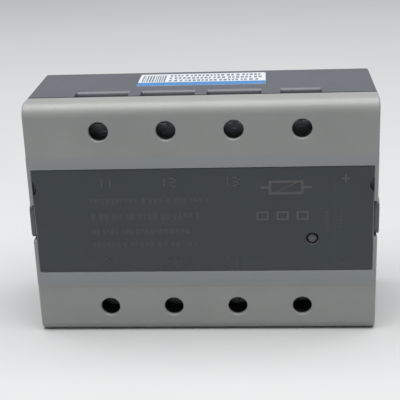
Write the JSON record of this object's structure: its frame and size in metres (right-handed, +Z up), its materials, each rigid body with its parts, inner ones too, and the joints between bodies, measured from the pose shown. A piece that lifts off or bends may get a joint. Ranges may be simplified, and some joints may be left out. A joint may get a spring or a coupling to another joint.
{
  "type": "three-phase solid state relay",
  "caption": "Panel-mount solid state relay: box-shaped housing on an aluminium base plate, with a clip-on front cover, screw terminals on both long edges and a status light.",
  "frame": {"origin": "centre of the lower long side, midway through the depth, on the surface that the relay stands on", "axes": "+X along the length to the right as seen from the front, +Y from the front label to the mounting panel, +Z up; the cover faces -Y"},
  "size_m": [0.106, 0.039, 0.0742],
  "materials": {
    "light_cover_plastic": "fine moulded texture, light grey",
    "dark_housing_plastic": "moulded, dark slate grey, slight sheen",
    "dark_label_film": "printed polyester film, semi-gloss, charcoal",
    "sticker_paper": "printed sticker, white with a blue band",
    "aluminium_base": "machined, fine brushed",
    "zinc_plated_steel": "bright zinc plating",
    "nickel_plated_steel": "nickel plating",
    "tinned_brass": "tin plated",
    "alumina_substrate": "matt white alumina",
    "silicon_die": "polished grey",
    "component_moulding": "moulded, off-white",
    "circuit_board": "green solder mask on glass fibre board",
    "clear_acrylic": "clear, polished",
    "potting_resin": "cured silicone resin, dark grey"
  },
  "bodies": {
    "relay_body": {"base_plate": "aluminium_base", "housing": "dark_housing_plastic", "board_frame": "dark_housing_plastic", "terminal_block_upper": "dark_housing_plastic", "terminal_block_lower": "dark_housing_plastic", "rating_sticker": "sticker_paper", "power_substrate": "alumina_substrate", "base_screw_lower_left": "zinc_plated_steel", "base_screw_upper_left": "zinc_plated_steel", "base_screw_lower_right": "zinc_plated_steel", "base_screw_upper_right": "zinc_plated_steel", "a1_busbar": "tinned_brass", "a1_nut": "zinc_plated_steel", "b1_busbar": "tinned_brass", "b1_nut": "zinc_plated_steel", "c1_busbar": "tinned_brass", "c1_nut": "zinc_plated_steel", "control_plus_busbar": "tinned_brass", "control_plus_nut": "zinc_plated_steel", "a2_busbar": "tinned_brass", "a2_nut": "zinc_plated_steel", "b2_busbar": "tinned_brass", "b2_nut": "zinc_plated_steel", "c2_busbar": "tinned_brass", "c2_nut": "zinc_plated_steel", "control_minus_busbar": "tinned_brass", "control_minus_nut": "zinc_plated_steel", "a1_thyristor": "silicon_die", "a2_thyristor": "silicon_die", "a_optocoupler": "component_moulding", "b1_thyristor": "silicon_die", "b2_thyristor": "silicon_die", "b_optocoupler": "component_moulding", "c1_thyristor": "silicon_die", "c2_thyristor": "silicon_die", "c_optocoupler": "component_moulding", "control_board": "circuit_board", "status_led": "component_moulding", "light_pipe": "clear_acrylic", "potting_resin": "potting_resin"},
    "cover": {"cover": "light_cover_plastic", "front_label": "dark_label_film"},
    "latch_left": {"cover_latch_left": "dark_housing_plastic"},
    "latch_right": {"cover_latch_right": "dark_housing_plastic"},
    "a1_clamp": {"a1_clamp": "nickel_plated_steel"},
    "a1_screw": {"a1_screw": "zinc_plated_steel"},
    "b1_clamp": {"b1_clamp": "nickel_plated_steel"},
    "b1_screw": {"b1_screw": "zinc_plated_steel"},
    "c1_clamp": {"c1_clamp": "nickel_plated_steel"},
    "c1_screw": {"c1_screw": "zinc_plated_steel"},
    "control_plus_clamp": {"control_plus_clamp": "nickel_plated_steel"},
    "control_plus_screw": {"control_plus_screw": "zinc_plated_steel"},
    "a2_clamp": {"a2_clamp": "nickel_plated_steel"},
    "a2_screw": {"a2_screw": "zinc_plated_steel"},
    "b2_clamp": {"b2_clamp": "nickel_plated_steel"},
    "b2_screw": {"b2_screw": "zinc_plated_steel"},
    "c2_clamp": {"c2_clamp": "nickel_plated_steel"},
    "c2_screw": {"c2_screw": "zinc_plated_steel"},
    "control_minus_clamp": {"control_minus_clamp": "nickel_plated_steel"},
    "control_minus_screw": {"control_minus_screw": "zinc_plated_steel"}
  },
  "joints": [
    {"name": "cover_pull_off", "type": "slide", "parent": "relay_body", "child": "cover", "axis": [0, -1, 0], "range_m": [0, 0.045]},
    {"name": "latch_left_flex", "type": "hinge", "parent": "relay_body", "child": "latch_left", "pos_m": [-0.0521, 0.003, 0.037], "axis": [0, 0, -1], "range_deg": [0, 5], "stiffness_Nm_per_rad": 0.9},
    {"name": "latch_right_flex", "type": "hinge", "parent": "relay_body", "child": "latch_right", "pos_m": [0.0521, 0.003, 0.037], "axis": [0, 0, 1], "range_deg": [0, 5], "stiffness_Nm_per_rad": 0.9},
    {"name": "a1_clamp_lift", "type": "slide", "parent": "relay_body", "child": "a1_clamp", "axis": [0, -1, 0], "range_m": [0, 0.003]},
    {"name": "a1_screw_turn", "type": "hinge", "parent": "a1_clamp", "child": "a1_screw", "pos_m": [-0.03, 0, 0.0656], "axis": [0, -1, 0], "range_deg": [0, 1350]},
    {"name": "b1_clamp_lift", "type": "slide", "parent": "relay_body", "child": "b1_clamp", "axis": [0, -1, 0], "range_m": [0, 0.003]},
    {"name": "b1_screw_turn", "type": "hinge", "parent": "b1_clamp", "child": "b1_screw", "pos_m": [-0.01, 0, 0.0656], "axis": [0, -1, 0], "range_deg": [0, 1350]},
    {"name": "c1_clamp_lift", "type": "slide", "parent": "relay_body", "child": "c1_clamp", "axis": [0, -1, 0], "range_m": [0, 0.003]},
    {"name": "c1_screw_turn", "type": "hinge", "parent": "c1_clamp", "child": "c1_screw", "pos_m": [0.01, 0, 0.0656], "axis": [0, -1, 0], "range_deg": [0, 1350]},
    {"name": "control_plus_clamp_lift", "type": "slide", "parent": "relay_body", "child": "control_plus_clamp", "axis": [0, -1, 0], "range_m": [0, 0.003]},
    {"name": "control_plus_screw_turn", "type": "hinge", "parent": "control_plus_clamp", "child": "control_plus_screw", "pos_m": [0.03, 0, 0.0656], "axis": [0, -1, 0], "range_deg": [0, 1542.9]},
    {"name": "a2_clamp_lift", "type": "slide", "parent": "relay_body", "child": "a2_clamp", "axis": [0, -1, 0], "range_m": [0, 0.003]},
    {"name": "a2_screw_turn", "type": "hinge", "parent": "a2_clamp", "child": "a2_screw", "pos_m": [-0.03, 0, 0.0084], "axis": [0, -1, 0], "range_deg": [0, 1350]},
    {"name": "b2_clamp_lift", "type": "slide", "parent": "relay_body", "child": "b2_clamp", "axis": [0, -1, 0], "range_m": [0, 0.003]},
    {"name": "b2_screw_turn", "type": "hinge", "parent": "b2_clamp", "child": "b2_screw", "pos_m": [-0.01, 0, 0.0084], "axis": [0, -1, 0], "range_deg": [0, 1350]},
    {"name": "c2_clamp_lift", "type": "slide", "parent": "relay_body", "child": "c2_clamp", "axis": [0, -1, 0], "range_m": [0, 0.003]},
    {"name": "c2_screw_turn", "type": "hinge", "parent": "c2_clamp", "child": "c2_screw", "pos_m": [0.01, 0, 0.0084], "axis": [0, -1, 0], "range_deg": [0, 1350]},
    {"name": "control_minus_clamp_lift", "type": "slide", "parent": "relay_body", "child": "control_minus_clamp", "axis": [0, -1, 0], "range_m": [0, 0.003]},
    {"name": "control_minus_screw_turn", "type": "hinge", "parent": "control_minus_clamp", "child": "control_minus_screw", "pos_m": [0.03, 0, 0.0084], "axis": [0, -1, 0], "range_deg": [0, 1542.9]}
  ],
  "couplings": [
    {"joint": "a1_screw_turn", "follows": "a1_clamp_lift", "rad_per_m": 7853.9},
    {"joint": "b1_screw_turn", "follows": "b1_clamp_lift", "rad_per_m": 7853.9},
    {"joint": "c1_screw_turn", "follows": "c1_clamp_lift", "rad_per_m": 7853.9},
    {"joint": "control_plus_screw_turn", "follows": "control_plus_clamp_lift", "rad_per_m": 8975.9},
    {"joint": "a2_screw_turn", "follows": "a2_clamp_lift", "rad_per_m": 7853.9},
    {"joint": "b2_screw_turn", "follows": "b2_clamp_lift", "rad_per_m": 7853.9},
    {"joint": "c2_screw_turn", "follows": "c2_clamp_lift", "rad_per_m": 7853.9},
    {"joint": "control_minus_screw_turn", "follows": "control_minus_clamp_lift", "rad_per_m": 8975.9}
  ]
}
